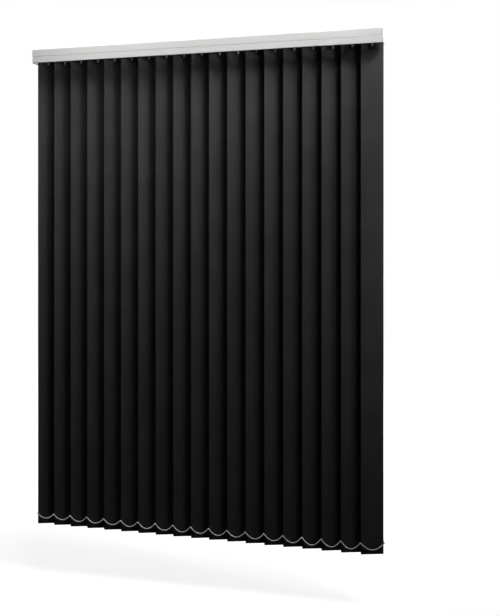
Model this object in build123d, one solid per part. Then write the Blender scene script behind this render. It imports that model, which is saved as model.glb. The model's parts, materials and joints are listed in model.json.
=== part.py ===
from build123d import *
import math
import os

# Vertical blind: nineteen fabric slats that hang from a draw rail, with a fascia and bottom chains.
# Millimetres. X runs along the rail, -Y faces the room, and Z = 0 is the ceiling face of the brackets.
# X = 0, Y = 0 is the middle slat's pivot. The slats draw to the right, beside the control end.

# The whole blind
slat_count = 19
slat_pitch = 77.0
slat_width = 89.0
slat_tilt = 18.0
blind_drop = 2028.0

# Head rail: an aluminium channel with ears on top and a slot below
rail_width = 44.0
rail_height = 26.0
rail_wall = 1.4
rail_slot = 17.0
rail_lip = 2.0
rail_ear = 1.4
screw_port_radius = 1.5
screw_port_wall = 1.1
port_sides = 6

# Ceiling brackets, which grip the rail's ears
bracket_count = 3
bracket_spacing = 560.0
bracket_length = 30.0
bracket_steel = 1.5
bracket_hole_radius = 2.5
screw_head_room = 3.0
clip_clearance = 0.15

# Fascia, its arms and its returns
fascia_height = 56.0
fascia_wall = 1.8
fascia_flange = 4.0
fascia_lip_wall = 1.3
fascia_lip = 3.2
fascia_groove_drop = 30.0
fascia_groove_width = 2.4
fascia_groove_depth = 0.7
fascia_edge_radius = 1.2
fascia_end_room = 1.6
slat_swing_room = 1.5
arm_offset = 90.0
arm_length = 24.0
arm_wall = 2.0
arm_tongue = 12.0
arm_clearance = 0.35
arm_web = 26.0
return_tongue = 12.0
return_overlap = 17.0

# Tilt rod: three lobes that turn every worm at once
rod_core_radius = 2.0
rod_lobe_radius = 2.8
rod_lobe_count = 3
rod_offset = 8.8
rod_drop = 15.0
rod_clearance = 0.08
rod_free_room = 0.35
rod_seat = 3.5

# Carriers
carrier_length = 15.0
carrier_front = 13.2
carrier_back = 13.6
carrier_top = 8.4
carrier_waist = 21.0
carrier_guide_room = 0.6
carrier_foot_rise = 1.1
wheel_radius = 3.6
wheel_width = 3.4
wheel_room = 1.0
wheel_clearance = 0.05
axle_radius = 1.0
well_floor = 17.0
well_room = 0.3
stem_room = 0.1
wheel_sides = 8
hole_sides = 6
round_sides = 8

# Spacer strips, each in a lane of its own, which set how far apart the carriers draw out
strip_width = 4.2
strip_thickness = 0.3
strip_front = 11.7
strip_root = 0.9
strip_reach = 5.0
strip_room = 0.3
lane_top = 12.3
lane_pitch = 0.5
lane_count = 6

# Hooks: a toothed wheel and stem that turn in the carrier, and a fork that holds the slat
pinion_teeth = 6
pinion_radius = 4.9
pinion_root_radius = 3.8
pinion_height = 4.0
stem_radius = 2.3
stem_sides = 6
seat_gap = 0.05
fork_below_rail = 5.5
fork_bar_height = 3.0
fork_width = 8.0
prong_wall = 1.2
prong_tip_width = 3.6
front_prong_length = 19.0
rear_prong_length = 13.0
prong_room = 0.35
hook_peg = 3.0
hook_peg_drop = 4.6

# Slats: one strip of cloth, folded and welded into a pocket at each end
cloth_thickness = 0.5
slat_below_rail = 10.5
top_pocket = 22.0
foot_pocket = 54.0
pocket_taper = 4.0
pocket_play = 0.1
peg_hole_room = 0.5

# Hanger plates and weights in the pockets
hanger_thickness = 1.0
hanger_height = 19.0
hanger_inset = 2.0
weight_thickness = 1.6
weight_inset = 1.0

# Chain pegs on the weights, and the chains
chain_height = 48.0
chain_thickness = 3.0
chain_sides = 4
chain_sag = 26.0
chain_slope = 50.0
chain_foot_steps = 3
chain_room = 0.1
ear_reach = 3.4
ear_height = 5.0
peg_thickness = 2.0
peg_lip = 0.9
peg_lip_wall = 0.6

# End housings, with their pulleys, pins and screws
housing_room = 2.1
return_end_length = 12.0
control_end_length = 17.0
housing_wall = 1.6
housing_corner = 3.0
plug_depth = 6.0
plug_wall = 2.6
plug_top = 12.0
plug_height = 14.0
plug_clearance = 0.2
cord_inset = 11.0
return_pulley_radius = 4.6
return_pulley_width = 5.0
return_pulley_drop = 13.0
cord_pulley_radius = 5.0
cord_pulley_width = 8.0
cord_pulley_drop = 14.0
pulley_groove = 1.2
pulley_rim = 1.0
pulley_room = 0.8
pin_radius = 1.25
pin_clearance = 0.05
pin_seat = 3.0
cheek_wall = 1.5
sprocket_radius = 8.0
sprocket_width = 6.5
sprocket_pockets = 7
bead_radius = 2.2
bearing_wall = 1.7
bearing_length = 3.0
end_screw_radius = 1.35
end_screw_bite = 10.0
end_screw_head_radius = 2.7
end_screw_head = 1.6
end_screw_clearance = 0.1
screw_tube_wall = 1.1

# Places that follow from the sizes above
last_slat = (slat_count - 1) / 2 * slat_pitch
rail_top = -(bracket_steel + screw_head_room)
rail_bottom = rail_top - rail_height
ledge_top = rail_bottom + rail_wall
lip_top = ledge_top + rail_lip
slot_half = rail_slot / 2
wall_inside = rail_width / 2 - rail_wall
ear_y = rail_width / 2 + rail_ear
slat_half = slat_width / 2
slat_top = rail_bottom - slat_below_rail
slat_foot = -blind_drop
lip_back = -(slat_half + slat_swing_room)
fascia_back = lip_back - fascia_flange
fascia_front = fascia_back - fascia_wall
lip_front = lip_back - fascia_lip_wall
clip_foot = rail_top - rail_wall - clip_clearance
return_inside = last_slat + slat_half + fascia_end_room
rail_half = return_inside - housing_room - control_end_length
return_back = return_overlap - rail_width / 2
cord_offset = rail_width / 2 - cord_inset
weight_front = -hanger_thickness / 2
weight_back = weight_front + weight_thickness
top_pocket_half = hanger_thickness / 2 + pocket_play + cloth_thickness
foot_pocket_back = weight_back + pocket_play + cloth_thickness
fork_top = rail_bottom - fork_below_rail
prong_top = fork_top - fork_bar_height
prong_inside = top_pocket_half + prong_room
hook_peg_top = slat_top - hook_peg_drop
chain_offset = chain_room + chain_thickness / 2
chain_top = slat_foot + chain_height
peg_level = chain_top - chain_thickness / 2 - chain_room - peg_thickness / 2
peg_u = slat_half + ear_reach - peg_thickness / 2
peg_length = chain_thickness + 3 * chain_room + peg_thickness / 2 * math.tan(math.radians(slat_tilt))
last_run_front = weight_front - peg_length - peg_lip_wall - chain_offset
last_peg_length = peg_length + peg_lip_wall + chain_thickness + 2 * chain_room
port_y = wall_inside - screw_port_radius - screw_port_wall / 2
port_z = rail_top - rail_wall - screw_port_radius - screw_port_wall / 2
along_rail = Plane.YZ


def block(x, y, z):
    """A box between two limits on each axis, each given as a pair."""
    middle = [(low + high) / 2 for low, high in (x, y, z)]
    return Pos(*middle) * Box(x[1] - x[0], y[1] - y[0], z[1] - z[0])


def prism(points, start, length, plane=along_rail):
    """A closed outline, extruded along the plane's normal from start."""
    face = make_face(Polyline(*points, close=True))
    return extrude(plane.offset(start) * face, amount=length)


def mirrored(points):
    """A whole outline from its left half."""
    return points + [(-a, b) for a, b in reversed(points)]


def upright_bar(radius, sides, top, height):
    """An upright bar of regular section, for rounds that repeat on every slat or carrier."""
    face = Plane.XY.offset(top - height) * RegularPolygon(radius, sides)
    return extrude(face, amount=height)


def round_face(radius):
    """A small round's outline, drawn with flat sides to keep the whole blind light."""
    return RegularPolygon(radius, round_sides)


def round_bar(radius, length):
    """A small round bar about Z, centred on the origin."""
    return extrude(Plane.XY.offset(-length / 2) * round_face(radius), amount=length)


def across_flats(apothem, sides):
    """The corner radius of a regular outline whose flats lie at the given distance."""
    return apothem / math.cos(math.pi / sides)


def both_sides(shape, plane):
    return [shape, mirror(shape, plane)]


def slat_x(index):
    """The pivot of a slat, counted from 0 at the left."""
    return (index - (slat_count - 1) / 2) * slat_pitch


def to_slat(index, shape):
    """Moves what was drawn at the origin, along X, to a slat's place and turn."""
    return Pos(slat_x(index), 0, 0) * Rot(0, 0, slat_tilt) * shape


def slat_point(index, u, v):
    """Where a point u along a slat and v behind its middle lies, seen from above."""
    turn = math.radians(slat_tilt)
    x = slat_x(index) + u * math.cos(turn) - v * math.sin(turn)
    y = u * math.sin(turn) + v * math.cos(turn)
    return x, y


def head_rail():
    half = rail_width / 2
    skin = [
        (-slot_half, lip_top),
        (-slot_half, rail_bottom),
        (-half, rail_bottom),
        (-half, rail_top - rail_wall),
        (-ear_y, rail_top - rail_wall),
        (-ear_y, rail_top),
    ]
    hollow = [
        (-wall_inside, rail_top - rail_wall),
        (-wall_inside, ledge_top),
        (-slot_half - rail_wall, ledge_top),
        (-slot_half - rail_wall, lip_top),
    ]
    outside = make_face(Polyline(*mirrored(skin), close=True))
    section = outside - make_face(Polyline(*mirrored(hollow), close=True))
    for side in (-1, 1):
        port = Pos(side * port_y, port_z)
        section += port * RegularPolygon(screw_port_radius + screw_port_wall, port_sides) & outside
        section -= port * RegularPolygon(across_flats(screw_port_radius, port_sides), port_sides)
    return extrude(along_rail.offset(-rail_half) * section, amount=2 * rail_half)


def bracket(x):
    inner = ear_y + clip_clearance
    outer = inner + bracket_steel
    foot_tip = rail_width / 2 + clip_clearance
    section = [
        (-foot_tip, clip_foot),
        (-foot_tip, clip_foot - bracket_steel),
        (-outer, clip_foot - bracket_steel),
        (-outer, 0),
    ]
    hollow = [(-inner, clip_foot), (-inner, -bracket_steel)]
    outline = mirrored(section)
    body = prism(outline + hollow_back(hollow), x - bracket_length / 2, bracket_length)
    hole = Pos(x, 0, -bracket_steel / 2) * Cylinder(bracket_hole_radius, 2 * bracket_steel)
    return body - hole


def hollow_back(points):
    """The inner line of a clip, run from the right foot back to the left one."""
    return [(-a, b) for a, b in points] + list(reversed(points))


def fascia():
    section = [
        (fascia_front, 0),
        (lip_back, 0),
        (lip_back, -fascia_wall - fascia_lip),
        (lip_front, -fascia_wall - fascia_lip),
        (lip_front, -fascia_wall),
        (fascia_back, -fascia_wall),
        (fascia_back, fascia_wall - fascia_height),
        (lip_front, fascia_wall - fascia_height),
        (lip_front, fascia_wall + fascia_lip - fascia_height),
        (lip_back, fascia_wall + fascia_lip - fascia_height),
        (lip_back, -fascia_height),
        (fascia_front, -fascia_height),
    ]
    half = return_inside + fascia_wall
    body = prism(section, -half, 2 * half)
    body = fillet(body.edges().filter_by(Axis.X).group_by(Axis.Y)[0], fascia_edge_radius)
    mouth = fascia_groove_width / 2
    groove = [
        (fascia_front - fascia_wall, mouth - fascia_groove_drop),
        (fascia_front, mouth - fascia_groove_drop),
        (fascia_front + fascia_groove_depth, mouth / 2 - fascia_groove_drop),
        (fascia_front + fascia_groove_depth, -mouth / 2 - fascia_groove_drop),
        (fascia_front, -mouth - fascia_groove_drop),
        (fascia_front - fascia_wall, -mouth - fascia_groove_drop),
    ]
    return body - prism(groove, -half, 2 * half)


def plate_limits():
    """Front and back, top and bottom of what slides in behind the fascia's lips."""
    edge = fascia_wall + arm_clearance
    return fascia_back + arm_clearance, lip_front - arm_clearance, -edge, edge - fascia_height


def fascia_arm(x):
    front, back, top, bottom = plate_limits()
    neck = -ear_y - clip_clearance
    over = rail_top + clip_clearance
    section = [
        (front, bottom),
        (front, top),
        (back, top),
        (back, clip_foot),
        (neck - arm_wall, clip_foot),
        (neck - arm_wall, over + arm_wall),
        (arm_tongue - rail_width / 2, over + arm_wall),
        (arm_tongue - rail_width / 2, over),
        (neck, over),
        (neck, clip_foot),
        (-rail_width / 2 - clip_clearance, clip_foot),
        (-rail_width / 2 - clip_clearance, clip_foot - arm_wall),
        (back, clip_foot - arm_wall),
        (back, bottom),
    ]
    web = [
        (back, clip_foot - arm_wall),
        (-rail_width / 2 - clip_clearance, clip_foot - arm_wall),
        (back, clip_foot - arm_wall - arm_web),
    ]
    body = prism(section, x - arm_length / 2, arm_length)
    return body + prism(web, x - arm_wall / 2, arm_wall)


def fascia_return():
    """The right-hand return. Its tongue slides in behind the fascia's lips."""
    front, back, top, bottom = plate_limits()
    outside = return_inside + fascia_wall
    wall = (return_inside, outside)
    panel = block(wall, (lip_back + arm_clearance, return_back), (-fascia_height, 0))
    lip = fascia_wall + fascia_lip + arm_clearance
    joint = block(wall, (front, lip_back + 2 * arm_clearance), (lip - fascia_height, -lip))
    tongue = block((outside - return_tongue, outside), (front, back), (bottom, top))
    return panel + joint + tongue


def rod_section(radius_change=0.0):
    """The rod's outline about its own axis, or a hole for it with room all round."""
    points = []
    for step in range(2 * rod_lobe_count):
        radius = (rod_lobe_radius if step % 2 == 0 else rod_core_radius) + radius_change
        middle = math.pi * step / rod_lobe_count + math.pi / 2
        half = math.pi / rod_lobe_count / 4
        for angle in (middle - half, middle + half):
            points.append((radius * math.cos(angle), radius * math.sin(angle)))
    return make_face(Polyline(*points, close=True))


def along_rod(face, start, length):
    return extrude(along_rail.offset(start) * Pos(rod_offset, -rod_drop) * face, amount=length)


def tilt_rod():
    start = -rail_half - rod_seat
    end = rail_half + control_end_length - housing_wall
    return along_rod(rod_section(), start, end - start)


def sprocket_start():
    return rail_half + control_end_length - housing_wall - bearing_length - pulley_room - sprocket_width


def tilt_sprocket():
    face = RegularPolygon(sprocket_radius, 2 * sprocket_pockets, rotation=180 / sprocket_pockets / 2)
    for step in range(sprocket_pockets):
        turn = Rot(0, 0, 360 * step / sprocket_pockets)
        face -= turn * Pos(sprocket_radius, 0) * RegularPolygon(bead_radius, hole_sides)
    face -= rod_section(pin_clearance)
    return along_rod(face, sprocket_start(), sprocket_width)


def pulley(radius, width):
    """A grooved wheel about Z, centred on the origin, with a bore for its pin."""
    wheel = round_bar(radius, width)
    groove = round_bar(radius + pulley_groove, width - 2 * pulley_rim)
    groove -= round_bar(radius - pulley_groove, width)
    return wheel - groove - pin_hole(width)


def pin_hole(length):
    return round_bar(across_flats(pin_radius + pin_clearance, round_sides), length)


def housing_block(start, length):
    """The outside of an end housing, with its four long corners rounded."""
    body = block((start, start + length), (-rail_width / 2, rail_width / 2), (rail_bottom, rail_top))
    return chamfer(body.edges().filter_by(Axis.X), housing_corner)


def plug_lugs(start):
    """Two lugs that fit inside the rail, one at each side."""
    outside = wall_inside - plug_clearance
    limits = (-plug_top - plug_height, -plug_top)
    lug = block((start, start + plug_depth), (outside - plug_wall, outside), limits)
    return both_sides(lug, Plane.XZ)


def end_screw_bar(radius, start, length):
    """A bar at each screw port, six-sided like the screws' heads."""
    face = Pos(port_y, port_z) * RegularPolygon(radius, hole_sides)
    bar = extrude(along_rail.offset(start) * face, amount=length)
    return both_sides(bar, Plane.XZ)


def rod_bearing():
    return RegularPolygon(across_flats(rod_lobe_radius + rod_clearance, round_sides), round_sides)


def return_pulley_centre():
    return Pos(-rail_half - return_pulley_radius - pulley_room, -cord_offset, -return_pulley_drop)


def return_end():
    outer = -rail_half - return_end_length
    body = housing_block(outer, return_end_length)
    for lug in plug_lugs(-rail_half):
        body += lug
    room = return_pulley_radius + pulley_room
    half = return_pulley_width / 2 + pin_clearance
    levels = (-return_pulley_drop - half, -return_pulley_drop + half)
    body -= block((-rail_half - 2 * room, -rail_half), (-cord_offset - room, -cord_offset + room), levels)
    body -= return_pulley_centre() * pin_hole(return_pulley_width + 2 * pin_seat)
    body -= along_rod(rod_bearing(), -rail_half - rod_seat - pulley_room, rail_half)
    for hole in end_screw_bar(end_screw_radius + end_screw_clearance, outer, return_end_length):
        body -= hole
    return body


def return_pulley():
    return return_pulley_centre() * pulley(return_pulley_radius, return_pulley_width)


def cord_pulley_centre():
    x = rail_half + cord_pulley_radius + pulley_room + plug_clearance
    return Pos(x, -cord_offset, -cord_pulley_drop) * Rot(90, 0, 0)


def cord_pulley():
    return cord_pulley_centre() * pulley(cord_pulley_radius, cord_pulley_width)


def pulley_pins():
    upright = round_bar(pin_radius, return_pulley_width + 2 * pin_seat - 2 * seat_gap)
    level = round_bar(pin_radius, cord_pulley_width + 2 * (cheek_wall + pin_clearance))
    return [return_pulley_centre() * upright, cord_pulley_centre() * level]


def control_end():
    outer = rail_half + control_end_length
    body = housing_block(rail_half, control_end_length)
    inside = (rail_half, outer - housing_wall)
    wide = rail_width / 2 - housing_wall
    levels = (rail_bottom + housing_wall, rail_top - housing_wall)
    body -= block(inside, (-wide, wide), levels)
    for lug in plug_lugs(rail_half - plug_depth) + plug_lugs(rail_half):
        body += lug
    half = cord_pulley_width / 2 + pin_clearance
    cheek_levels = (-cord_pulley_drop - 2 * pin_radius, -cord_pulley_drop + 2 * pin_radius)
    for y in (-cord_offset - half - cheek_wall, -cord_offset + half):
        body += block(inside, (y, y + cheek_wall), cheek_levels)
    body -= cord_pulley_centre() * pin_hole(cord_pulley_width + 3 * cheek_wall)
    boss = round_face(rod_lobe_radius + rod_clearance + bearing_wall) - rod_bearing()
    body += along_rod(boss, outer - housing_wall - bearing_length, bearing_length)
    tube_reach = end_screw_radius + end_screw_clearance
    for tube in end_screw_bar(tube_reach + screw_tube_wall, rail_half, control_end_length):
        body += tube
    for hole in end_screw_bar(tube_reach, rail_half, control_end_length):
        body -= hole
    bead_room = bead_radius + pulley_room
    body -= block(
        (sprocket_start() - pulley_room, sprocket_start() + sprocket_width),
        (rod_offset - sprocket_radius - bead_room, rod_offset + sprocket_radius + bead_room),
        (rail_bottom, levels[0]),
    )
    cord_exit = (-cord_offset - half, -cord_offset + half)
    body -= block((inside[0] + housing_wall, inside[1]), cord_exit, (rail_bottom, levels[0]))
    return body


def end_screws():
    """Four self-tapping screws, two through each end housing into the rail's ports."""
    screws = []
    for side in (-1, 1):
        length = return_end_length if side < 0 else control_end_length
        outer = rail_half + length
        shank = end_screw_bar(end_screw_radius, rail_half - end_screw_bite, length + end_screw_bite)
        head = end_screw_bar(end_screw_head_radius, outer, end_screw_head)
        for pair in zip(shank, head):
            screw = pair[0] + pair[1]
            screws.append(screw if side > 0 else mirror(screw, Plane.YZ))
    return screws


def carrier_housing():
    """One carrier at the origin, without its spacer strip."""
    half = carrier_length / 2
    guide = slot_half - carrier_guide_room
    body = block((-half, half), (-carrier_front, carrier_back), (-carrier_waist, -carrier_top))
    body += block((-half, half), (-guide, guide), (rail_bottom + carrier_foot_rise, -carrier_waist))
    well = pinion_radius + well_room
    body -= block((-well, well), (-well, well), (-well_floor, -carrier_top))
    stem_hole = across_flats(stem_radius + stem_room, hole_sides)
    body -= upright_bar(stem_hole, hole_sides, -carrier_top, rail_height)
    rod_hole = across_flats(rod_lobe_radius + rod_free_room, hole_sides)
    body -= along_rod(RegularPolygon(rod_hole, hole_sides, rotation=180 / hole_sides), -half, carrier_length)
    strips = (lane_count - 1) * lane_pitch + strip_thickness
    window_y = (-strip_front - strip_room, strip_width - strip_front + strip_room)
    window_z = (-lane_top - strips - strip_room, strip_room - lane_top)
    body -= block((-half, half), window_y, window_z)
    axle_level = ledge_top + wheel_clearance + wheel_radius * math.cos(math.pi / wheel_sides)
    wheel_face = slot_half + rail_wall + wheel_room
    for plane in (Plane.XZ, Plane.XZ.rotated((0, 0, 180))):
        place = plane * Pos(0, axle_level)
        axle = place * RegularPolygon(axle_radius, 4)
        wheel = place * RegularPolygon(wheel_radius, wheel_sides, rotation=180 / wheel_sides - 90)
        normal = plane.z_dir
        body += extrude(Pos(*(normal * guide)) * axle, amount=wheel_face - guide, dir=normal)
        body += extrude(Pos(*(normal * wheel_face)) * wheel, amount=wheel_width, dir=normal)
    return body


def spacer_strip(lane):
    """The strip that reaches left from a carrier into the next one's window."""
    top = -lane_top - lane * lane_pitch
    level = (top - strip_thickness, top)
    back = strip_width - strip_front
    strip = block((-slat_pitch - strip_reach, strip_reach), (-strip_front, back), level)
    return strip + block((-strip_reach, strip_reach), (-strip_front - strip_root, back), level)


def hook():
    """The toothed wheel, stem and fork that carry one slat."""
    points = []
    for step in range(2 * pinion_teeth):
        radius = pinion_radius if step % 2 == 0 else pinion_root_radius
        angle = math.pi * step / pinion_teeth
        points.append((radius * math.cos(angle), radius * math.sin(angle)))
    floor = seat_gap - well_floor
    body = prism(points, floor, pinion_height, Plane.XY)
    body += upright_bar(stem_radius, stem_sides, floor, floor - fork_top)
    outside = prong_inside + prong_wall
    half = fork_width / 2
    body += block((-half, half), (-outside, outside), (prong_top, fork_top))
    tip = prong_tip_width / 2
    for front, length in ((-outside, front_prong_length), (prong_inside, rear_prong_length)):
        prong = [(-half, prong_top), (half, prong_top), (tip, prong_top - length), (-tip, prong_top - length)]
        body += prism(prong, -front - prong_wall, prong_wall, Plane.XZ)
    tooth = (hook_peg_top - hook_peg, hook_peg_top)
    return body + block((-hook_peg / 2, hook_peg / 2), (-hanger_thickness / 2, prong_inside), tooth)


def peg_hole():
    """The hole by which the cloth's back and the hanger sit on the hook's tooth."""
    half = hook_peg / 2 + peg_hole_room
    levels = (hook_peg_top - hook_peg - peg_hole_room, hook_peg_top + seat_gap)
    return block((-half, half), (-hanger_thickness / 2, prong_inside), levels)


def cloth():
    """One strip of cloth, flat in front, folded back and welded into a pocket at each end."""
    sheet_back = cloth_thickness - top_pocket_half
    outline = [
        (-top_pocket_half, slat_foot),
        (-top_pocket_half, slat_top),
        (top_pocket_half, slat_top),
        (top_pocket_half, slat_top - top_pocket),
        (sheet_back, slat_top - top_pocket - pocket_taper),
        (sheet_back, slat_foot + foot_pocket + pocket_taper),
        (foot_pocket_back, slat_foot + foot_pocket),
        (foot_pocket_back, slat_foot),
    ]
    body = prism(outline, -slat_half, slat_width)
    for back, low, high in (
        (foot_pocket_back, slat_foot + cloth_thickness, slat_foot + foot_pocket),
        (top_pocket_half, slat_top - top_pocket, slat_top - cloth_thickness),
    ):
        body -= block((-slat_half, slat_half), (sheet_back, back - cloth_thickness), (low, high))
    return body - peg_hole()


def hanger():
    top = slat_top - cloth_thickness - pocket_play
    reach = slat_half - hanger_inset
    thick = hanger_thickness / 2
    return block((-reach, reach), (-thick, thick), (top - hanger_height, top)) - peg_hole()


def chain_peg(u, face, length):
    """A peg with a lip at its tip. A negative length points into the room."""
    half = peg_thickness / 2
    tip = face + length
    far = tip + math.copysign(peg_lip_wall, length)
    section = [
        (face, peg_level - half),
        (far, peg_level - half),
        (far, peg_level + half + peg_lip),
        (tip, peg_level + half + peg_lip),
        (tip, peg_level + half),
        (face, peg_level + half),
    ]
    return prism(section, u - half, peg_thickness)


def weight(is_last):
    """The bar in the foot pocket, with an ear and a chain peg at each end."""
    thick = (weight_front, weight_back)
    reach = slat_half - weight_inset
    ears = slat_half + ear_reach
    top = peg_level + peg_thickness / 2
    body = block((-reach, reach), thick, (slat_foot + cloth_thickness + pocket_play, top))
    body += block((-ears, ears), thick, (top - ear_height, top))
    front_length = last_peg_length if is_last else peg_length
    body += chain_peg(-peg_u, weight_front, -front_length)
    body += chain_peg(peg_u, weight_back, peg_length)
    if is_last:
        body += chain_peg(peg_u, weight_front, -front_length)
    return body


def scallop(span):
    """One hanging run from peg to peg: flat over the peg, down, round the foot, and up."""
    slope = math.radians(chain_slope)
    flat = peg_thickness / 2 + chain_thickness / 4
    fall = chain_sag / math.tan(slope)
    foot_radius = (span / 2 - flat - fall) / (math.sin(slope) - (1 - math.cos(slope)) / math.tan(slope))
    points = [(flat, 0)]
    for step in range(chain_foot_steps + 1):
        angle = slope * (2 * step / chain_foot_steps - 1)
        points.append((span / 2 + foot_radius * math.sin(angle),
                       foot_radius * (1 - math.cos(angle)) - chain_sag))
    return points + [(span - flat, 0)]


def chain(start, count, span):
    """A chain of equal runs, drawn along X from a start point, as one bent bar."""
    flat = peg_thickness / 2 + chain_thickness / 4
    points = [(-flat, 0)]
    for run in range(count):
        points += [(run * span + a, b) for a, b in scallop(span)]
    points.append((count * span + flat, 0))
    line = Polyline(*[(start[0] + a, start[1], chain_top + b) for a, b in points])
    face = Plane(origin=line @ 0, x_dir=(0, 1, 0), z_dir=(1, 0, 0))
    ring = face * RegularPolygon(chain_thickness / 2, chain_sides)
    return sweep(ring, path=line, transition=Transition.RIGHT)


def long_chain(u, v):
    """The chain that joins one edge of every slat, u along each and v behind its middle."""
    return chain(slat_point(0, u, v), slat_count - 1, slat_pitch)


def last_run():
    """The chain's last run, across the room side of the last slat."""
    return to_slat(slat_count - 1, chain((-peg_u, last_run_front), 1, 2 * peg_u))


def bracket_x(index):
    return (index - (bracket_count - 1) / 2) * bracket_spacing


def all_nodes():
    """Every node's name and its solids."""
    nodes = {"headrail": [head_rail()], "fascia": [fascia()]}
    right = fascia_return()
    nodes["fascia_return_right"] = [right]
    nodes["fascia_return_left"] = [mirror(right, Plane.YZ)]
    for index in range(bracket_count):
        nodes[f"bracket_{index + 1}"] = [bracket(bracket_x(index))]
        nodes[f"fascia_arm_{index + 1}"] = [fascia_arm(bracket_x(index) + arm_offset)]
    nodes["tilt_rod"] = [tilt_rod()]
    nodes["tilt_sprocket"] = [tilt_sprocket()]
    nodes["return_end"] = [return_end()]
    nodes["return_pulley"] = [return_pulley()]
    nodes["control_end"] = [control_end()]
    nodes["cord_pulley"] = [cord_pulley()]
    nodes["pulley_pins"] = pulley_pins()
    nodes["end_screws"] = end_screws()
    nodes["front_chain"] = [long_chain(-peg_u, weight_front - chain_offset)]
    nodes["back_chain"] = [long_chain(peg_u, weight_back + chain_offset)]
    nodes["chain_last_run"] = [last_run()]
    housing = carrier_housing()
    slat_pieces = [cloth(), hanger(), hook()]
    for index in range(slat_count):
        carrier = housing + spacer_strip(index % lane_count) if index > 0 else housing
        nodes[f"carrier_{index + 1:02d}"] = [Pos(slat_x(index), 0, 0) * carrier]
        pieces = slat_pieces + [weight(index == slat_count - 1)]
        nodes[f"slat_{index + 1:02d}"] = [to_slat(index, piece) for piece in pieces]
    return nodes


def write_parts():
    os.makedirs("parts", exist_ok=True)
    for name, shapes in all_nodes().items():
        solids = [solid for shape in shapes for solid in shape.solids()]
        export_step(solids[0] if len(solids) == 1 else Compound(solids), f"parts/{name}.step")


write_parts()
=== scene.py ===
import json
import math
import random

import bpy
from mathutils import Matrix, Vector

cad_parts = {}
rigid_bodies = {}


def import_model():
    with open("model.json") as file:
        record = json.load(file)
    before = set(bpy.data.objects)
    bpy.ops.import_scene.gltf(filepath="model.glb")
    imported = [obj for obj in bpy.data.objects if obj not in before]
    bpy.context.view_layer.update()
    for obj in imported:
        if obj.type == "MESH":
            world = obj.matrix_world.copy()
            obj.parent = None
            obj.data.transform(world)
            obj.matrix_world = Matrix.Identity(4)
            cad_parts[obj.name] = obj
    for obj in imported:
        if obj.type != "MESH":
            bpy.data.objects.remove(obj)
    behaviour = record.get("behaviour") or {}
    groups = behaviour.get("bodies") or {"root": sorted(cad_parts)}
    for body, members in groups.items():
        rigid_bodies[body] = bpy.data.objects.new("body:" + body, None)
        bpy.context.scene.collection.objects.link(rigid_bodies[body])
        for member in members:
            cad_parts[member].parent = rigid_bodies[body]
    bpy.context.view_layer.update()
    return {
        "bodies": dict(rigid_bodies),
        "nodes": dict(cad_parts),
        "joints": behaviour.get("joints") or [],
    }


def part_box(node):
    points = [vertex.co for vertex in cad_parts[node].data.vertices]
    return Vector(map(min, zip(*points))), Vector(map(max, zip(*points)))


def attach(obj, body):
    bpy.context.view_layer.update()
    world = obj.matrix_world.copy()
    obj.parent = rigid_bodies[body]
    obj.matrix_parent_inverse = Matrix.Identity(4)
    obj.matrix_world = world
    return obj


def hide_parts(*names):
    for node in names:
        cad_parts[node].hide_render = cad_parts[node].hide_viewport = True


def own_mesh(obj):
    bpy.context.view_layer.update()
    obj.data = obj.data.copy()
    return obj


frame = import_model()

# Vertical blind: black cloth slats on white hooks, behind a pale fascia, with bead chains at the foot.
# Metres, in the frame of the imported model. Each slat is drawn at its own pivot, with u along its width
# in X and v behind its middle in Y, and is then turned and moved to its place.

# The slats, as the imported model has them
slat_tilt = math.radians(18)
slat_half = 0.0445
cloth_thickness = 0.0005
cloth_top = -0.041
cloth_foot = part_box("slat_01")[0].z
cloth_front = -0.0011
top_pocket_back = 0.0011
foot_pocket_back = 0.0017
top_pocket = 0.022
foot_pocket = 0.054
pocket_taper = 0.004
weld_height = 0.005
hanger_thickness = 0.001
hanger_height = 0.019
hanger_half = 0.0425
weight_front = -0.0005
weight_back = 0.0011
weight_half = 0.0435
weight_top = -1.9816
pocket_room = 0.0001
plate_edge = 0.00015
hanger_corner = 0.004
hole_room = 0.0005
hole_top_room = 0.00005
ear_half = 0.0479
ear_height = 0.005
peg_u = 0.0469
peg_length = 0.0056
peg_thickness = 0.002
last_peg_length = 0.0112
peg_root = 0.0004
peg_head = 0.0006
peg_head_share = 1.7
peg_sides = 12
peg_level = weight_top - peg_thickness / 2

# The hooks
gear_foot = -0.01695
gear_height = 0.004
gear_root_radius = 0.0038
gear_tooth = 0.0011
gear_teeth = 6
stem_radius = 0.0023
fork_top = -0.036
fork_bar_height = 0.003
fork_width = 0.008
fork_inside = 0.00145
prong_wall = 0.0012
prong_tip_width = 0.0052
front_prong = 0.019
rear_prong = 0.013
prong_point = 0.007
tooth_size = 0.003
tooth_top = cloth_top - 0.0046
hook_edge = 0.0002

# How the cloth hangs: its rows and columns, and how far it strays from flat
cloth_rows = 72
cloth_columns = 12
fold_steps = 6
bow_limit = 0.0011
ripple_limit = 0.0006
twist_limit = math.radians(1.2)
ripple_shares = (0.4, 1)
ripple_lengths = (0.35, 0.6)
ripple_lean = 1.7
pocket_hold = 0.25
cloth_seed = 19

# The cloth's colours, the painted shade in the gaps between its threads, and its threads and fibres for each
# metre
cloth_light = (0.060, 0.060, 0.062)
cloth_dark = (0.048, 0.048, 0.050)
# Painted shade: the darker colour put into the gaps between the threads
cloth_gap_painted_shade = (0.012, 0.012, 0.013)
cloth_threads = 1700.0
cloth_fibres = 2600.0

# The chains. When the slats are drawn together, each run of 77 mm shortens to 16 mm.
bead_radius = 0.0026
bead_gap = 0.0056
link_radius = 0.0013
chain_out = 0.0028
first_sag = 0.0215
last_sag = 0.0275
sag_spread = 0.0012
run_steps = 60
link_step = 3
chain_seed = 4

# The end housings' screws
screw_radius = 0.00135
screw_head_radius = 0.0027
screw_head = 0.0016
return_screw = 0.022
control_screw = 0.027
cross_reach = 0.62
cross_width = 0.14
cross_depth = 0.55
first_turn = 20
turn_step = 35

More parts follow.
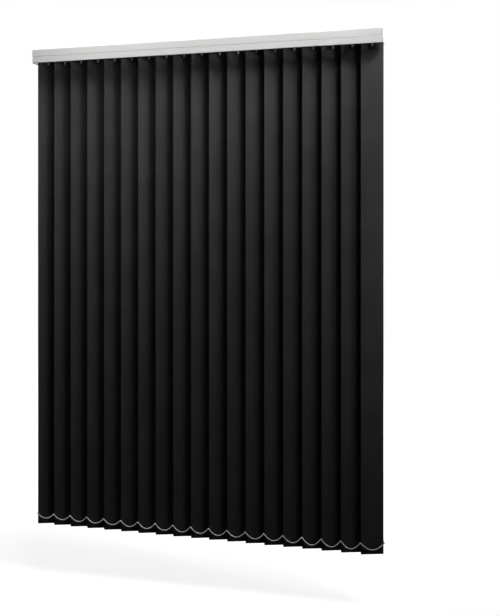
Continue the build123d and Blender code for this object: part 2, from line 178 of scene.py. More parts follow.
# The picture: the camera and the light
photo_height = 616
focal_pixels = 822
horizon_pixel = 239
sensor = 36.0
camera_place = Vector((1.038, -3.205, -0.805))
camera_yaw = math.radians(14.6)
floor_level = -2.25
floor_size = 60
floor_colour = (0.82, 0.82, 0.82)
floor_bounce = (0.04, 0.04, 0.04)
floor_glow = 0.8
floor_fade = (1.0, 3.5)
room_glow = 0.02
key_size = 0.45

# Each key lamp's place, then in degrees how far it turns to the left, how far it dips and its spread,
# and its power in watts
key_lights = (
    ((0.5, -1.4, 2.4), 75, 25, 90, 13.43),
    ((2.0, -1.4, 1.6), 45, 25, 90, 4.62),
    ((0.5, -0.5, 0.5), 60, 55, 60, 0.18),
    ((1.5, -0.5, 1.0), 60, 25, 60, 6.48),
    ((2.0, -0.9, 1.0), 45, 55, 60, 1.60),
    ((4.0, -0.9, 1.0), 45, 25, 60, 32.05),
    ((1.0, -0.3, 0.8), 60, 35, 90, 0.53),
    ((1.0, -0.4, 1.6), 60, 35, 90, 7.24),
    ((2.0, -0.9, 1.6), 60, 35, 90, 3.99),
    ((2.5, -0.35, 0.6), 80, 25, 60, 1.91),
    ((2.5, -0.35, 1.3), 80, 25, 60, 0.88),
    ((-0.3, -0.3, 0.8), 30, 65, 90, 2.84),
    ((0.6, -0.4, 1.6), 30, 65, 90, 1.12),
)
back_place = (-2.4, 2.6, 0.6)
back_aim = (2.4, -2.6, -1.5)
back_size = 1.2
back_power = 25


def slat_bodies():
    return sorted(name for name in frame["bodies"] if name.startswith("slat_"))


def joint(name):
    return next(entry for entry in frame["joints"] if entry["name"] == name)


def pivot(body):
    """Where a slat's hook turns, along the rail."""
    return joint("tilt_" + body[-2:])["pos_m"][0]


def to_slat(piece, body):
    """Moves a piece drawn at the origin to a slat's place and turn."""
    place = Matrix.Translation((pivot(body), 0, 0))
    piece.data.transform(place @ Matrix.Rotation(slat_tilt, 4, "Z"))


def slat_point(body, u, v, z):
    """A point given in a slat's own u, v and height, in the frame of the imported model."""
    turned = Matrix.Rotation(slat_tilt, 4, "Z") @ Vector((u, v, z))
    return turned + Vector((pivot(body), 0, 0))


# Modelling helpers


def deselect():
    if bpy.context.mode != "OBJECT":
        bpy.ops.object.mode_set(mode="OBJECT")
    bpy.ops.object.select_all(action="DESELECT")


def use(piece):
    """Makes one piece the selected and active one."""
    deselect()
    piece.select_set(True)
    bpy.context.view_layer.objects.active = piece


def name_piece(name):
    piece = bpy.context.object
    piece.name = name
    piece.data.name = name
    return piece


def block(name, x, y, z):
    """A box between two limits on each axis."""
    deselect()
    middle = [(low + high) / 2 for low, high in (x, y, z)]
    bpy.ops.mesh.primitive_cube_add(size=1, location=middle)
    bpy.context.object.scale = [high - low for low, high in (x, y, z)]
    bpy.ops.object.transform_apply(location=True, rotation=True, scale=True)
    return name_piece(name)


def bar(name, radius, low, high, sides=20, axis="Z", centre=(0, 0)):
    """A round bar along an axis, between two limits, about a centre on the other two axes."""
    deselect()
    turn = {"X": (0, math.pi / 2, 0), "Y": (math.pi / 2, 0, 0), "Z": (0, 0, 0)}[axis]
    middle = (low + high) / 2
    place = {"X": (middle, *centre), "Y": (centre[0], middle, centre[1]), "Z": (*centre, middle)}[axis]
    bpy.ops.mesh.primitive_cylinder_add(
        vertices=sides, radius=radius, depth=high - low, location=place, rotation=turn)
    bpy.ops.object.transform_apply(location=True, rotation=True, scale=True)
    return name_piece(name)


def edit(piece, test, kind="FACE"):
    """Goes into edit mode with the faces or edges selected that pass a test of their middle and normal."""
    use(piece)
    bpy.ops.object.mode_set(mode="EDIT")
    bpy.ops.mesh.select_mode(type=kind)
    bpy.ops.mesh.select_all(action="DESELECT")
    bpy.ops.object.mode_set(mode="OBJECT")
    if kind == "FACE":
        for face in piece.data.polygons:
            face.select = test(face.center, face.normal)
    else:
        corners = piece.data.vertices
        for edge in piece.data.edges:
            start, end = (corners[i].co for i in edge.vertices)
            edge.select = test((start + end) / 2, (end - start).normalized())
    bpy.ops.object.mode_set(mode="EDIT")


def leave_edit():
    bpy.ops.object.mode_set(mode="OBJECT")


def cut(piece, place, normal):
    """Cuts every face along a plane, and keeps both sides."""
    use(piece)
    bpy.ops.object.mode_set(mode="EDIT")
    bpy.ops.mesh.select_all(action="SELECT")
    bpy.ops.mesh.bisect(plane_co=place, plane_no=normal)
    leave_edit()


def pull(piece, test, by):
    """Extrudes the faces that pass a test by an offset."""
    edit(piece, test)
    bpy.ops.mesh.extrude_region_move(TRANSFORM_OT_translate={"value": by})
    leave_edit()


def modify(piece, kind, **settings):
    """Adds a modifier with its settings and applies it."""
    use(piece)
    modifier = piece.modifiers.new(kind.lower(), kind)
    for key, value in settings.items():
        setattr(modifier, key, value)
    bpy.ops.object.modifier_apply(modifier=modifier.name)


def soften(piece, width, segments=2, angle=35):
    """Rounds a piece's sharp edges and shades it."""
    modify(piece, "BEVEL", width=width, segments=segments, limit_method="ANGLE",
           angle_limit=math.radians(angle), harden_normals=False)
    shade(piece, angle)


def shade(piece, angle=35):
    use(piece)
    bpy.ops.object.shade_smooth_by_angle(angle=math.radians(angle))


def fuse(name, pieces):
    """Unites overlapping pieces into one closed shell."""
    first = pieces[0]
    for other in pieces[1:]:
        modify(first, "BOOLEAN", operation="UNION", solver="EXACT", object=other)
        bpy.data.objects.remove(other)
    first.name = name
    first.data.name = name
    return first


def copy_of(piece, name):
    twin = piece.copy()
    twin.data = piece.data.copy()
    twin.name = name
    twin.data.name = name
    bpy.context.scene.collection.objects.link(twin)
    return twin


def mesh_piece(name, points, faces):
    data = bpy.data.meshes.new(name)
    data.from_pydata(points, [], faces)
    data.update()
    piece = bpy.data.objects.new(name, data)
    bpy.context.scene.collection.objects.link(piece)
    return piece


# Shader helpers


def group(name, inputs, outputs):
    """A node group with named sockets, and its two ends."""
    tree = bpy.data.node_groups.new(name, "ShaderNodeTree")
    for socket, kind, value in inputs:
        made = tree.interface.new_socket(socket, in_out="INPUT", socket_type=kind)
        if value is not None:
            made.default_value = value
    for socket, kind in outputs:
        tree.interface.new_socket(socket, in_out="OUTPUT", socket_type=kind)
    return tree, tree.nodes.new("NodeGroupInput"), tree.nodes.new("NodeGroupOutput")


def math_node(tree, operation, first, second=None, clamp=False):
    node = tree.nodes.new("ShaderNodeMath")
    node.operation = operation
    node.use_clamp = clamp
    for socket, value in zip(node.inputs, (first, second)):
        if value is None:
            continue
        if isinstance(value, (int, float)):
            socket.default_value = value
        else:
            tree.links.new(value, socket)
    return node.outputs[0]


def noise(tree, vector, scale, detail=3.0, roughness=0.5):
    node = tree.nodes.new("ShaderNodeTexNoise")
    node.inputs["Scale"].default_value = scale
    node.inputs["Detail"].default_value = detail
    node.inputs["Roughness"].default_value = roughness
    tree.links.new(vector, node.inputs["Vector"])
    return node.outputs[0]


def remap(tree, value, low, high, to_low, to_high):
    node = tree.nodes.new("ShaderNodeMapRange")
    node.inputs["From Min"].default_value = low
    node.inputs["From Max"].default_value = high
    node.inputs["To Min"].default_value = to_low
    node.inputs["To Max"].default_value = to_high
    tree.links.new(value, node.inputs["Value"])
    return node.outputs[0]


def mix_colours(tree, share, first, second):
    node = tree.nodes.new("ShaderNodeMix")
    node.data_type = "RGBA"
    tree.links.new(share, node.inputs["Factor"])
    for socket, value in ((node.inputs["A"], first), (node.inputs["B"], second)):
        if hasattr(value, "links"):
            tree.links.new(value, socket)
        else:
            socket.default_value = (*value, 1)
    return node.outputs["Result"]


def surface_grain():
    """Cloudy shade and fine grain for moulded, painted and drawn surfaces."""
    tree, start, end = group(
        "surface_grain",
        [("Vector", "NodeSocketVector", None), ("Cloud Scale", "NodeSocketFloat", 12.0),
         ("Grain Scale", "NodeSocketFloat", 900.0), ("Stretch", "NodeSocketVector", (1, 1, 1))],
        [("Cloud", "NodeSocketFloat"), ("Grain", "NodeSocketFloat")])
    stretched = tree.nodes.new("ShaderNodeVectorMath")
    stretched.operation = "MULTIPLY"
    tree.links.new(start.outputs["Vector"], stretched.inputs[0])
    tree.links.new(start.outputs["Stretch"], stretched.inputs[1])
    for scale, output, detail in (("Cloud Scale", "Cloud", 4), ("Grain Scale", "Grain", 2)):
        node = tree.nodes.new("ShaderNodeTexNoise")
        node.inputs["Detail"].default_value = detail
        tree.links.new(stretched.outputs[0], node.inputs["Vector"])
        tree.links.new(start.outputs[scale], node.inputs["Scale"])
        tree.links.new(node.outputs[0], end.inputs[output])
    return tree


def plain_weave():
    """Threads that pass over and under each other, from a vector in metres."""
    tree, start, end = group(
        "plain_weave",
        [("Vector", "NodeSocketVector", None), ("Threads", "NodeSocketFloat", 1600.0)],
        [("Height", "NodeSocketFloat"), ("Gap", "NodeSocketFloat")])
    parts = tree.nodes.new("ShaderNodeSeparateXYZ")
    tree.links.new(start.outputs["Vector"], parts.inputs[0])
    waves = []
    for axis in ("X", "Y"):
        turns = math_node(tree, "MULTIPLY", parts.outputs[axis], start.outputs["Threads"])
        waves.append(math_node(tree, "SINE", math_node(tree, "MULTIPLY", turns, math.pi)))
    across, along = (math_node(tree, "ABSOLUTE", wave) for wave in waves)
    side = math_node(tree, "GREATER_THAN", math_node(tree, "MULTIPLY", *waves), 0.0)
    other = math_node(tree, "SUBTRACT", 1.0, side)
    height = math_node(tree, "ADD", math_node(tree, "MULTIPLY", across, side),
                       math_node(tree, "MULTIPLY", along, other))
    tree.links.new(height, end.inputs["Height"])
    gap = math_node(tree, "SUBTRACT", 1.0, math_node(tree, "MAXIMUM", across, along), clamp=True)
    tree.links.new(gap, end.inputs["Gap"])
    return tree


grain_group = surface_grain()
weave_group = plain_weave()


def new_material(name):
    material = bpy.data.materials.new(name)
    material.use_nodes = True
    tree = material.node_tree
    return material, tree, tree.nodes["Principled BSDF"]


def place_group(tree, source, vector=None, **values):
    node = tree.nodes.new("ShaderNodeGroup")
    node.node_tree = source
    if vector is not None:
        tree.links.new(vector, node.inputs["Vector"])
    for key, value in values.items():
        node.inputs[key.replace("_", " ")].default_value = value
    return node


def coordinates(tree, kind="Object"):
    return tree.nodes.new("ShaderNodeTexCoord").outputs[kind]


def bump(tree, shader, height, strength, distance):
    node = tree.nodes.new("ShaderNodeBump")
    node.inputs["Strength"].default_value = strength
    node.inputs["Distance"].default_value = distance
    tree.links.new(height, node.inputs["Height"])
    tree.links.new(node.outputs[0], shader.inputs["Normal"])


def grained_material(name, light, dark, roughness, metallic=0.0, coat=0.0, cloud=12.0, grain=900.0,
                     stretch=(1, 1, 1), strength=0.15, distance=0.00005, specular=0.5):
    """A finish whose colour and gloss wander a little, over a fine grain."""
    material, tree, shader = new_material(name)
    made = place_group(tree, grain_group, coordinates(tree), Cloud_Scale=cloud, Grain_Scale=grain,
                       Stretch=stretch)
    share = remap(tree, made.outputs["Cloud"], 0.3, 0.7, 0, 1)
    tree.links.new(mix_colours(tree, share, light, dark), shader.inputs["Base Color"])
    low, high = roughness
    tree.links.new(remap(tree, made.outputs["Grain"], 0.3, 0.7, low, high), shader.inputs["Roughness"])
    shader.inputs["Metallic"].default_value = metallic
    shader.inputs["Specular IOR Level"].default_value = specular
    shader.inputs["Coat Weight"].default_value = coat
    bump(tree, shader, made.outputs["Grain"], strength, distance)
    return material


def fascia_coat():
    return grained_material("fascia_coat", (0.80, 0.80, 0.79), (0.76, 0.76, 0.75), (0.36, 0.48),
                            cloud=3.5, grain=700, strength=0.2, distance=0.00004)


def rail_coat():
    return grained_material("rail_coat", (0.78, 0.78, 0.77), (0.73, 0.73, 0.72), (0.38, 0.5),
                            cloud=5, grain=800, strength=0.2, distance=0.00004)


def moulded_white():
    return grained_material("moulded_white", (0.78, 0.78, 0.77), (0.72, 0.72, 0.70), (0.42, 0.58),
                            cloud=30, grain=1500, strength=0.25, distance=0.00004)


def hook_white():
    return grained_material("hook_white", (0.88, 0.88, 0.87), (0.83, 0.83, 0.81), (0.25, 0.38), coat=0.8,
                            cloud=60, grain=1800, strength=0.15, distance=0.00003)


def natural_acetal():
    return grained_material("natural_acetal", (0.74, 0.73, 0.69), (0.66, 0.65, 0.60), (0.34, 0.48),
                            cloud=60, grain=1800, strength=0.2, distance=0.00003)


def zinc_steel():
    return grained_material("zinc_steel", (0.62, 0.63, 0.64), (0.46, 0.47, 0.49), (0.28, 0.42), metallic=1.0,
                            cloud=90, grain=1400, strength=0.15, distance=0.00002)


def drawn_aluminium():
    return grained_material("drawn_aluminium", (0.76, 0.77, 0.78), (0.66, 0.67, 0.68), (0.24, 0.40),
                            metallic=1.0, cloud=40, grain=900, stretch=(0.02, 1, 1), strength=0.15,
                            distance=0.00002)


def chain_plastic():
    return grained_material("chain_plastic", (0.88, 0.88, 0.87), (0.83, 0.83, 0.82), (0.2, 0.3), coat=1.0,
                            cloud=50, grain=2500, strength=0.1, distance=0.00002, specular=1.0)


def slat_cloth():
    """Dull black coated cloth with a fine plain weave, painted shade in the gaps between its threads, and a
    pressed line at each weld.
    """
    material, tree, shader = new_material("slat_cloth")
    uv = coordinates(tree, "UV")
    weave = place_group(tree, weave_group, uv, Threads=cloth_threads)
    place = coordinates(tree)
    cloud = noise(tree, place, 9.0, 4)
    fibre = noise(tree, uv, cloth_fibres, 2)
    base = mix_colours(tree, remap(tree, cloud, 0.3, 0.7, 0, 1), cloth_light, cloth_dark)
    # Painted shade: the base colour is darkened where the threads leave gaps
    gap_painted_shade = mix_colours(tree, math_node(tree, "MULTIPLY", weave.outputs["Gap"], 0.8), base, cloth_gap_painted_shade)
    tree.links.new(gap_painted_shade, shader.inputs["Base Color"])
    tree.links.new(remap(tree, fibre, 0.3, 0.7, 0.72, 0.9), shader.inputs["Roughness"])
    shader.inputs["Specular IOR Level"].default_value = 0.02
    parts = tree.nodes.new("ShaderNodeSeparateXYZ")
    tree.links.new(place, parts.inputs[0])
    pressed = None
    for level in (cloth_top - top_pocket - pocket_taper, cloth_foot + foot_pocket + pocket_taper):
        away = math_node(tree, "ABSOLUTE", math_node(tree, "SUBTRACT", parts.outputs["Z"], level))
        near = math_node(tree, "LESS_THAN", away, weld_height / 2)
        pressed = near if pressed is None else math_node(tree, "MAXIMUM", pressed, near)
    height = math_node(tree, "SUBTRACT", weave.outputs["Height"],
                       math_node(tree, "MULTIPLY", pressed, 2.0))
    bump(tree, shader, height, 0.35, 0.00012)
    return material


# Pieces of a slat


def fold(centre, radius, start, end):
    """Points round a fold, from one angle to another in degrees, 0 at the back and 90 on top."""
    points = []
    for step in range(fold_steps + 1):
        angle = math.radians(start + (end - start) * step / fold_steps)
        points.append((centre[0] + radius * math.cos(angle), centre[1] + radius * math.sin(angle)))
    return points


def cloth_line():
    """The cloth's middle line seen from its side, as v and z, from the top flap's end to the foot flap's."""
    sheet = cloth_thickness / 2
    front = cloth_front + sheet
    welded = front + cloth_thickness
    top_back = top_pocket_back - sheet
    foot_back = foot_pocket_back - sheet
    top_radius = (top_back - front) / 2
    foot_radius = (foot_back - front) / 2
    top_centre = (front + top_radius, cloth_top - sheet - top_radius)
    foot_centre = (front + foot_radius, cloth_foot + sheet + foot_radius)
    flap = cloth_top - top_pocket
    line = [(welded, flap - pocket_taper - weld_height), (welded, flap - pocket_taper), (top_back, flap)]
    line += fold(top_centre, top_radius, 0, 180)
    for row in range(1, cloth_rows):
        share = row / cloth_rows
        line.append((front, top_centre[1] + (foot_centre[1] - top_centre[1]) * share))
    line += fold(foot_centre, foot_radius, 180, 360)
    flap = cloth_foot + foot_pocket
    return line + [(foot_back, flap), (welded, flap + pocket_taper),
                   (welded, flap + pocket_taper + weld_height)]


def stray(draw):
    """How one slat's cloth departs from flat, as a function of u and z. Its pockets stay straight."""
    bow = draw.uniform(-1, 1) * bow_limit
    ripple = draw.uniform(*ripple_shares) * ripple_limit
    length = draw.uniform(*ripple_lengths)
    start = draw.uniform(0, math.tau)
    twist = draw.uniform(-1, 1) * twist_limit
    held_top = cloth_top - top_pocket
    held_foot = cloth_foot + foot_pocket

    def offset(u, z):
        free = min(1.0, max(0.0, min(held_top - z, z - held_foot) / pocket_hold))
        free = free * free * (3 - 2 * free)
        share = u / slat_half
        wave = math.sin(z / length * math.tau + start + ripple_lean * share)
        return free * (bow * (1 - share * share) + ripple * share * share * wave + u * math.tan(twist))

    return offset


def slat_cloth_piece(name, draw):
    """A slat's cloth: one strip, folded back at each end."""
    line = cloth_line()
    offset = stray(draw)
    points = []
    run = []
    for row, (v, z) in enumerate(line):
        if row:
            before = line[row - 1]
            run.append(run[-1] + math.hypot(v - before[0], z - before[1]))
        else:
            run.append(0.0)
        for column in range(cloth_columns + 1):
            u = slat_half * (2 * column / cloth_columns - 1)
            points.append((u, v + offset(u, z), z))
    wide = cloth_columns + 1
    faces = []
    for row in range(len(line) - 1):
        for column in range(cloth_columns):
            corner = row * wide + column
            faces.append((corner, corner + 1, corner + wide + 1, corner + wide))
    piece = mesh_piece(name, points, faces)
    layer = piece.data.uv_layers.new(name="cloth")
    for loop in piece.data.loops:
        row, column = divmod(loop.vertex_index, wide)
        layer.data[loop.index].uv = (slat_half * 2 * column / cloth_columns, run[row])
    modify(piece, "SOLIDIFY", thickness=cloth_thickness, offset=0)
    shade(piece, 50)
    return piece, run[-1]


def gear():
    """The toothed wheel on top of a hook."""
    sides = 4 * gear_teeth
    piece = bar("gear", gear_root_radius, gear_foot, gear_foot + gear_height, sides)
    step = math.tau / sides

    def on_tooth(centre, normal):
        if abs(normal.z) > 0.5:
            return False
        return int(round(math.atan2(centre.y, centre.x) / step - 0.5)) % 4 < 2

    edit(piece, on_tooth)
    bpy.ops.mesh.extrude_region_shrink_fatten(TRANSFORM_OT_shrink_fatten={"value": -gear_tooth})
    leave_edit()
    return piece


def fork():
    """The two prongs under a hook's crossbar, each drawn in to a blunt point, with the hanger's tooth."""
    outside = fork_inside + prong_wall
    half = fork_width / 2
    under = fork_top - fork_bar_height
    piece = block("fork", (-half, half), (-outside, outside), (under, fork_top))
    for side in (-fork_inside, fork_inside):
        cut(piece, (0, side, 0), (0, 1, 0))
    for side, length in ((-1, front_prong), (1, rear_prong)):
        pull(piece, lambda c, n: n.z < -0.5 and side * c.y > fork_inside, (0, 0, prong_point - length))
        bpy.ops.object.mode_set(mode="EDIT")
        bpy.ops.mesh.extrude_region_move(TRANSFORM_OT_translate={"value": (0, 0, -prong_point)})
        tip = Vector((0, side * (outside + fork_inside) / 2, under - length))
        bpy.ops.transform.resize(value=(prong_tip_width / fork_width, 1, 1), center_override=tip)
        leave_edit()
    tooth = block("tooth", (-tooth_size / 2, tooth_size / 2),
                  (-hanger_thickness / 2, fork_inside + prong_wall / 2),
                  (tooth_top - tooth_size, tooth_top))
    return fuse("fork", [piece, tooth])


def hook():
    stem = bar("stem", stem_radius, fork_top - fork_bar_height / 2, gear_foot + gear_height / 2, 20)
    piece = fuse("hook", [fork(), stem, gear()])
    soften(piece, hook_edge)
    return piece


def hanger():
    """The flat plate in the top pocket, with a hole for the hook's tooth and rounded lower corners."""
    top = cloth_top - cloth_thickness - pocket_room
    half = hanger_thickness / 2
    piece = block("hanger", (-hanger_half, hanger_half), (-half, half), (top - hanger_height, top))
    edit(piece, lambda c, n: abs(n.y) > 0.9 and c.z < top - hanger_height / 2, "EDGE")
    bpy.ops.mesh.bevel(offset=hanger_corner, segments=5)
    leave_edit()
    room = tooth_size / 2 + hole_room
    hole = block("hole", (-room, room), (-2 * half, 2 * half),
                 (tooth_top - tooth_size - hole_room, tooth_top + hole_top_room))
    modify(piece, "BOOLEAN", operation="DIFFERENCE", solver="EXACT", object=hole)
    bpy.data.objects.remove(hole)
    soften(piece, plate_edge)
    return piece


def chain_peg(u, face, length):
    """A round peg with a wider head, out of an ear. A negative length points into the room."""
    radius = peg_thickness / 2
    far = face + length
    low, high = sorted((face - math.copysign(peg_root, length), far))
    shank = bar("peg", radius, low, high, peg_sides, "Y", (u, peg_level))
    low, high = sorted((far, far + math.copysign(peg_head, length)))
    head = bar("peg_head", radius * peg_head_share, low, high, peg_sides, "Y", (u, peg_level))
    return [shank, head]


def weight(is_last):
    """The bar in the foot pocket, with an ear and a chain peg at each end."""
    foot = cloth_foot + cloth_thickness + pocket_room
    piece = block("weight", (-weight_half, weight_half), (weight_front, weight_back), (foot, weight_top))
    cut(piece, (0, 0, weight_top - ear_height), (0, 0, 1))
    for side in (-1, 1):
        reach = side * (ear_half - weight_half)
        pull(piece, lambda c, n: side * n.x > 0.5 and c.z > weight_top - ear_height, (reach, 0, 0))
    pieces = [piece]
    front_length = -(last_peg_length if is_last else peg_length)
    pieces += chain_peg(-peg_u, weight_front, front_length)
    pieces += chain_peg(peg_u, weight_back, peg_length)
    if is_last:
        pieces += chain_peg(peg_u, weight_front, front_length)
    piece = fuse("weight", pieces)
    soften(piece, plate_edge)
    return piece


def dress_slats(materials):
    """Every slat's cloth, hanger, hook and weight, each riding on its slat."""
    models = {"hook": hook(), "hanger": hanger(), "weight": weight(False)}
    last_weight = weight(True)
    draw = random.Random(cloth_seed)
    bodies = slat_bodies()
    for body in bodies:
        number = body[-2:]
        cloth, length = slat_cloth_piece(f"slat_cloth_{number}", draw)
        cloth.data.materials.append(materials["cloth"])
        to_slat(cloth, body)
        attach(cloth, body)
        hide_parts(body)
        for kind, model in models.items():
            source = last_weight if kind == "weight" and body == bodies[-1] else model
            piece = copy_of(source, f"slat_{kind}_{number}")
            piece.data.materials.append(materials[kind])
            to_slat(piece, body)
            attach(piece, body)
    for model in [*models.values(), last_weight]:
        bpy.data.objects.remove(model)


# Chains


def bead():
    deselect()
    bpy.ops.mesh.primitive_uv_sphere_add(segments=8, ring_count=6, radius=bead_radius)
    return name_piece("bead")


def hanging_run(start, end, sag):
    """Points along one run of chain that hangs from start to end."""
    points = []
    for step in range(run_steps + 1):
        share = step / run_steps
        place = start.lerp(end, share)
        place.z -= 4 * sag * share * (1 - share)
        points.append(place)
    return points


def bead_places(line):
    """Where the beads of one run sit, evenly spaced, with half a space at each peg."""
    lengths = [0.0]
    for a, b in zip(line, line[1:]):
        lengths.append(lengths[-1] + (b - a).length)
    count = int(lengths[-1] // bead_gap)
    gap = lengths[-1] / count
    places = []
    for index in range(count):
        wanted = (index + 0.5) * gap
        after = next(i for i, value in enumerate(lengths) if value >= wanted)
        share = (wanted - lengths[after - 1]) / (lengths[after] - lengths[after - 1])
        places.append(line[after - 1].lerp(line[after], share))
    return places


def chain(name, pegs, sags, material):
    """A bead chain that hangs in runs from peg to peg."""
    model = bead()
    points = []
    faces = []
    path = []
    for start, end, sag in zip(pegs, pegs[1:], sags):
        line = hanging_run(start, end, sag)
        path += line if not path else line[1:]
        for place in bead_places(line):
            first = len(points)
            points += [vertex.co + place for vertex in model.data.vertices]
            faces += [[first + i for i in face.vertices] for face in model.data.polygons]
    bpy.data.objects.remove(model)
    beads = mesh_piece(name, points, faces)
    curve = bpy.data.curves.new(name + "_link", "CURVE")
    curve.dimensions = "3D"
    curve.bevel_depth = link_radius
    curve.bevel_resolution = 1
    curve.use_fill_caps = True
    spline = curve.splines.new("POLY")
    places = path[::link_step]
    spline.points.add(len(places) - 1)
    for point, place in zip(spline.points, places):
        point.co = (*place, 1)
    link = bpy.data.objects.new(name + "_link", curve)
    bpy.context.scene.collection.objects.link(link)
    use(link)
    bpy.ops.object.convert(target="MESH")
    link.select_set(True)
    beads.select_set(True)
    bpy.context.view_layer.objects.active = beads
    bpy.ops.object.join()
    beads.data.materials.append(material)
    shade(beads, 60)
    return beads


def dress_chains(material):
    """The chains along the slats' front and back edges, and the last run on the last slat."""
    bodies = slat_bodies()
    level = peg_level + peg_thickness / 2 + link_radius
    draw = random.Random(chain_seed)
    runs = len(bodies) - 1
    for name, u, v in (("front_chain", -peg_u, weight_front - chain_out),
                       ("back_chain", peg_u, weight_back + chain_out)):
        pegs = [slat_point(body, u, v, level) for body in bodies]
        sags = [first_sag + (last_sag - first_sag) * run / runs + draw.uniform(-1, 1) * sag_spread
                for run in range(runs)]
        piece = chain(name + "_beads", pegs, sags, material)
        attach(piece, name)
        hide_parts(name)
        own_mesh(piece)
    last = bodies[-1]
    v = weight_front - last_peg_length + chain_out
    pegs = [slat_point(last, side * peg_u, v, level) for side in (-1, 1)]
    piece = chain("chain_last_run_beads", pegs, [last_sag], material)
    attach(piece, last)
    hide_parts("chain_last_run")


def end_screw(length):
    """A pan-head screw along X, with a cross in its head, its head's top at the origin."""
    screw = bar("screw", screw_head_radius, -screw_head, 0, 28, "X")
    edit(screw, lambda c, n: n.x < -0.5)
    bpy.ops.mesh.inset(thickness=screw_head_radius - screw_radius)
    bpy.ops.mesh.extrude_region_move(TRANSFORM_OT_translate={"value": (-length, 0, 0)})
    leave_edit()
    edit(screw, lambda c, n: abs(c.x) < 1e-6 and abs(n.x) < 0.9, "EDGE")
    bpy.ops.mesh.bevel(offset=screw_head * 0.6, segments=5)
    leave_edit()
    reach = screw_head_radius * cross_reach
    slot = screw_head_radius * cross_width
    for long, short in ((reach, slot), (slot, reach)):
        cross = block("cross", (-screw_head * cross_depth, screw_head), (-long, long), (-short, short))
        modify(screw, "BOOLEAN", operation="DIFFERENCE", solver="EXACT", object=cross)
        bpy.data.objects.remove(cross)
    shade(screw, 40)
    return screw


def dress_screws(material):
    """The four screws that hold the end housings to the rail."""
    low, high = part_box("end_screws")
    level = (low.z + high.z) / 2
    screws = []
    for side, outer, length in ((-1, low.x, return_screw), (1, high.x, control_screw)):
        model = end_screw(length)
        for y in (low.y + screw_head_radius, high.y - screw_head_radius):
            piece = copy_of(model, "screw")
            turn = Matrix.Rotation(math.radians(first_turn + turn_step * len(screws)), 4, "X")
            face = Matrix.Rotation(math.pi if side < 0 else 0, 4, "Z")
            piece.data.transform(Matrix.Translation((outer, y, level)) @ face @ turn)
            screws.append(piece)
        bpy.data.objects.remove(model)
    use(screws[0])
    for piece in screws:
        piece.select_set(True)
    bpy.ops.object.join()
    piece = name_piece("end_screw_heads")
    piece.data.materials.append(material)
    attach(piece, "root")
    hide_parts("end_screws")


def dress_frame(materials):
    """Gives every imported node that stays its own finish."""
    finishes = {
        "fascia": "fascia", "fascia_return": "moulded", "headrail": "rail", "bracket": "steel",
        "fascia_arm": "moulded", "tilt_rod": "aluminium", "tilt_sprocket": "acetal", "return_end": "moulded",
        "control_end": "moulded", "return_pulley": "acetal", "cord_pulley": "acetal", "pulley_pins": "steel",
        "end_screws": "steel", "carrier": "acetal",
    }
    for name, node in frame["nodes"].items():
        fitting = [key for key in finishes if name.startswith(key)]
        if not fitting:
            continue
        finish = materials[finishes[max(fitting, key=len)]]
        node.data.materials.clear()
        node.data.materials.append(finish)


# The room: floor, light and camera


def floor():
    """A floor that the camera sees pale, and that throws little light back at the blind."""
    deselect()
    bpy.ops.mesh.primitive_plane_add(size=floor_size, location=(0, 0, floor_level))
    plane = name_piece("floor")
    material, tree, shader = new_material("pale_floor")
    shader.inputs["Roughness"].default_value = 0.9
    shader.inputs["Specular IOR Level"].default_value = 0.0
    shader.inputs["Emission Color"].default_value = (1, 1, 1, 1)
    seen = tree.nodes.new("ShaderNodeLightPath").outputs["Is Camera Ray"]
    tree.links.new(mix_colours(tree, seen, floor_bounce, floor_colour), shader.inputs["Base Color"])
    length = tree.nodes.new("ShaderNodeVectorMath")
    length.operation = "LENGTH"
    tree.links.new(coordinates(tree), length.inputs[0])
    away = remap(tree, length.outputs["Value"], *floor_fade, floor_glow, 1.0)
    tree.links.new(math_node(tree, "MULTIPLY", seen, away), shader.inputs["Emission Strength"])
    plane.data.materials.append(material)


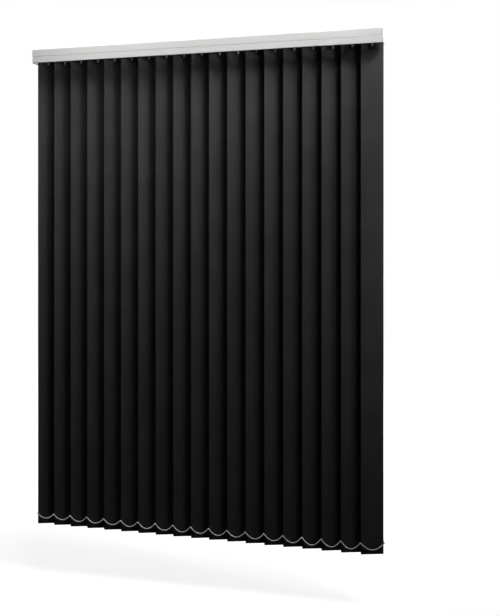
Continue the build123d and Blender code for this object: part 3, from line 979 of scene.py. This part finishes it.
def world():
    """White for the camera, for reflections and through clear parts, and dim as a light."""
    sky = bpy.data.worlds.new("studio")
    bpy.context.scene.world = sky
    sky.use_nodes = True
    tree = sky.node_tree
    back = tree.nodes["Background"]
    seen = tree.nodes.new("ShaderNodeLightPath")
    clear = math_node(tree, "MAXIMUM", seen.outputs["Is Camera Ray"], seen.outputs["Is Glossy Ray"])
    clear = math_node(tree, "MAXIMUM", clear, seen.outputs["Is Transmission Ray"])
    strength = remap(tree, clear, 0, 1, room_glow, 1.0)
    back.inputs["Color"].default_value = (1, 1, 1, 1)
    tree.links.new(strength, back.inputs["Strength"])


def softbox(name, place, direction, size, power, spread):
    """A square lamp whose light stays within a spread of its own direction."""
    light = bpy.data.lights.new(name, "AREA")
    light.shape = "SQUARE"
    light.size = size
    light.energy = power
    light.spread = spread
    holder = bpy.data.objects.new(name, light)
    holder.location = place
    holder.rotation_euler = Vector(direction).to_track_quat("-Z", "Y").to_euler()
    bpy.context.scene.collection.objects.link(holder)


def lights():
    """The key lamps in front of and over the blind, and one behind for its back."""
    for step, (place, turn, fall, spread, power) in enumerate(key_lights):
        turn, fall = math.radians(turn), math.radians(fall)
        level = math.cos(fall)
        direction = (-math.sin(turn) * level, math.cos(turn) * level, -math.sin(fall))
        softbox(f"key_{step + 1}", place, direction, key_size, power, math.radians(spread))
    softbox("back", back_place, back_aim, back_size, back_power, math.pi)


def camera():
    lens = bpy.data.cameras.new("photo_camera")
    lens.sensor_width = sensor
    lens.lens = focal_pixels / photo_height * sensor
    lens.shift_y = (horizon_pixel - photo_height / 2) / photo_height
    holder = bpy.data.objects.new("photo_camera", lens)
    holder.location = camera_place
    holder.rotation_euler = (math.pi / 2, 0, camera_yaw)
    bpy.context.scene.collection.objects.link(holder)
    bpy.context.scene.camera = holder


def main():
    bpy.context.scene.view_settings.view_transform = "Standard"
    camera()
    world()
    floor()
    lights()
    moulded = moulded_white()
    steel = zinc_steel()
    dress_frame({
        "fascia": fascia_coat(), "rail": rail_coat(), "moulded": moulded, "steel": steel,
        "aluminium": drawn_aluminium(), "acetal": natural_acetal(),
    })
    dress_slats({"cloth": slat_cloth(), "hook": hook_white(), "hanger": moulded, "weight": moulded})
    dress_chains(chain_plastic())
    dress_screws(steel)


main()
